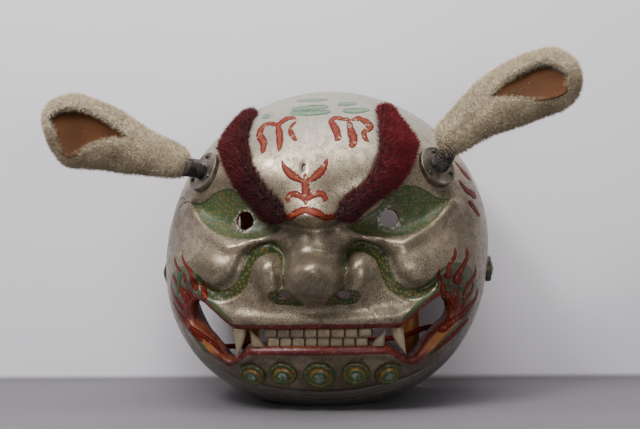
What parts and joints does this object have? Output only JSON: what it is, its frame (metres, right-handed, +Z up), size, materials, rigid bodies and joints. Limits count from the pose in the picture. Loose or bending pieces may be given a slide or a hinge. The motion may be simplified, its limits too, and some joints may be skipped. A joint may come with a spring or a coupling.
{
  "type": "lion dance head",
  "caption": "Round lacquered lion dance head with a closed toothed mouth, plush brows and two plush ears on coil springs, open at the back.",
  "frame": {"origin": "on the flat underside, below the middle of the widest ring", "axes": "the face looks along -Y, +Z is up, +X is to the right of someone who faces the head"},
  "size_m": [0.6649, 0.3192, 0.4342],
  "materials": {
    "silver_lacquer": "worn silver lacquer",
    "tooth_paint": "ivory paint",
    "boss_paint": "green and gold paint",
    "burgundy_plush": "deep plush",
    "plate_steel": "aged",
    "dark_steel": "dark",
    "cream_plush": "deep plush",
    "brown_board": "matt",
    "post_wood": "oiled",
    "red_bar": "red lacquer"
  },
  "bodies": {
    "head": {"head_shell": "silver_lacquer", "upper_teeth": "tooth_paint", "lower_teeth": "tooth_paint", "upper_fang_left": "tooth_paint", "upper_fang_right": "tooth_paint", "lower_tusk_left": "tooth_paint", "lower_tusk_right": "tooth_paint", "chin_boss_1": "boss_paint", "chin_boss_2": "boss_paint", "chin_boss_3": "boss_paint", "chin_boss_4": "boss_paint", "chin_boss_5": "boss_paint", "side_boss_left": "boss_paint", "side_boss_right": "boss_paint", "eyebrow_left": "burgundy_plush", "eyebrow_right": "burgundy_plush", "ear_plate_left": "plate_steel", "ear_plate_right": "plate_steel", "plate_nail_left_1": "dark_steel", "plate_nail_left_2": "dark_steel", "plate_nail_left_3": "dark_steel", "plate_nail_right_1": "dark_steel", "plate_nail_right_2": "dark_steel", "plate_nail_right_3": "dark_steel", "ear_spring_left": "dark_steel", "ear_spring_right": "dark_steel", "grip_post_left": "post_wood", "grip_post_right": "post_wood", "grip_bar": "red_bar"},
    "ear_left": {"ear_plush_left": "cream_plush", "ear_lining_left": "brown_board"},
    "ear_right": {"ear_plush_right": "cream_plush", "ear_lining_right": "brown_board"}
  },
  "joints": [
    {"name": "ear_nod_left", "type": "hinge", "parent": "head", "child": "ear_left", "pos_m": [-0.1564, -0.1026, 0.3027], "axis": [0, 1, 0], "range_deg": [-15, 15], "stiffness_Nm_per_rad": 1.2, "springref_deg": 5.73, "deforming": ["ear_spring_left"]},
    {"name": "ear_nod_right", "type": "hinge", "parent": "head", "child": "ear_right", "pos_m": [0.1521, -0.1109, 0.314], "axis": [0, -1, 0], "range_deg": [-15, 15], "stiffness_Nm_per_rad": 1.2, "springref_deg": 5.73, "deforming": ["ear_spring_right"]}
  ]
}
